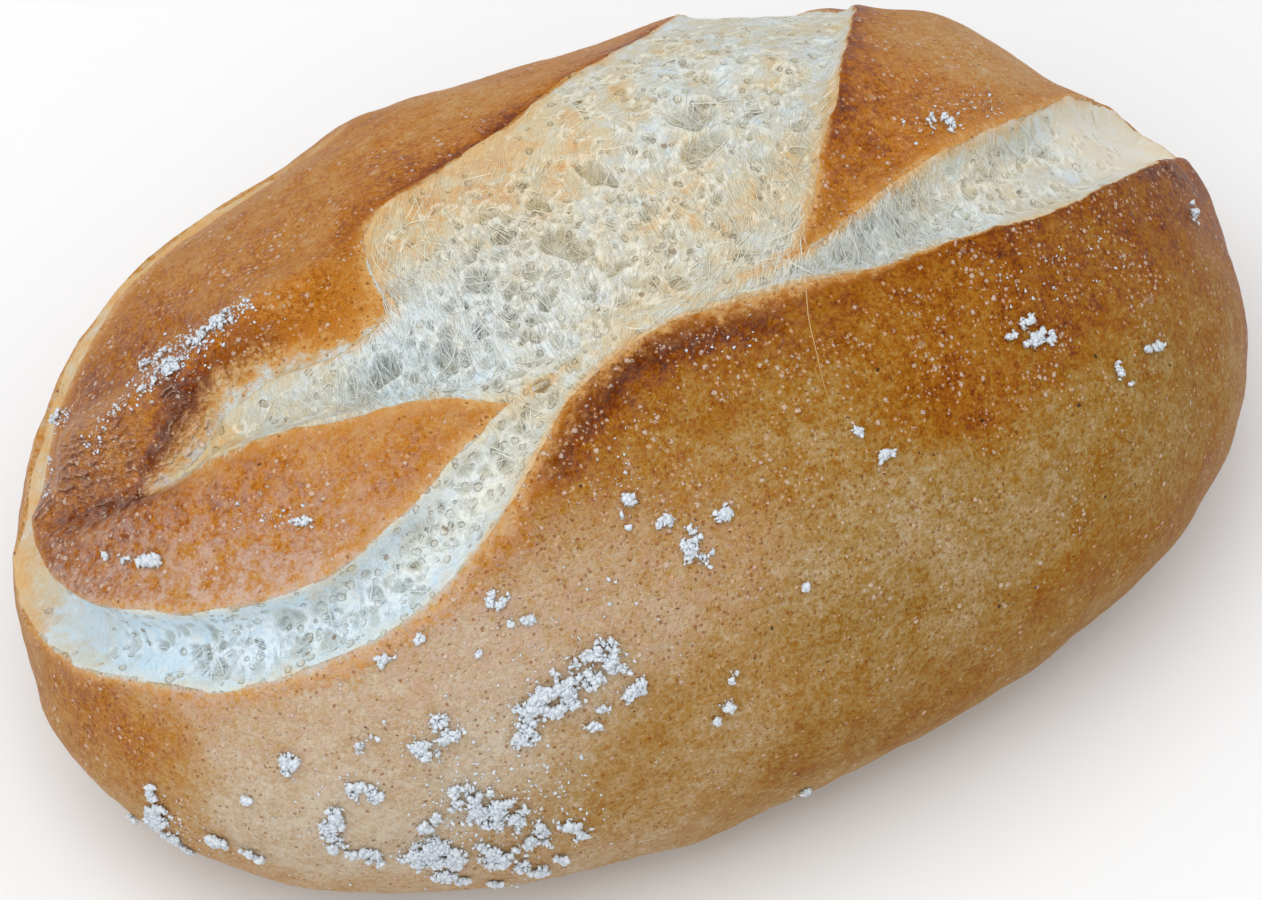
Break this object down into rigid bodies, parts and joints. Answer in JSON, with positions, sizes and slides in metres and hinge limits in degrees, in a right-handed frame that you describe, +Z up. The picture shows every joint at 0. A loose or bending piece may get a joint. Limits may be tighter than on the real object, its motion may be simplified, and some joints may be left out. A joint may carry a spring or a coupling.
{
  "type": "baguette roll",
  "caption": "Oval crusty wheat roll, slashed twice, its browned crust torn open over pale crumb; rests on a flat base.",
  "frame": {"origin": "middle of the roll's box, on the surface it stands on", "axes": "+X along the length, away from the nose where the long slash runs round; +Y from the broad front flank to the back; +Z up"},
  "size_m": [0.1301, 0.084, 0.0536],
  "materials": {
    "crust": "matt browned crust, lightly floured",
    "crumb": "open torn crumb, matt and slightly translucent",
    "flour": "caked baking flour, matt"
  },
  "bodies": {
    "root": {"roll": "crust"}
  },
  "joints": []
}
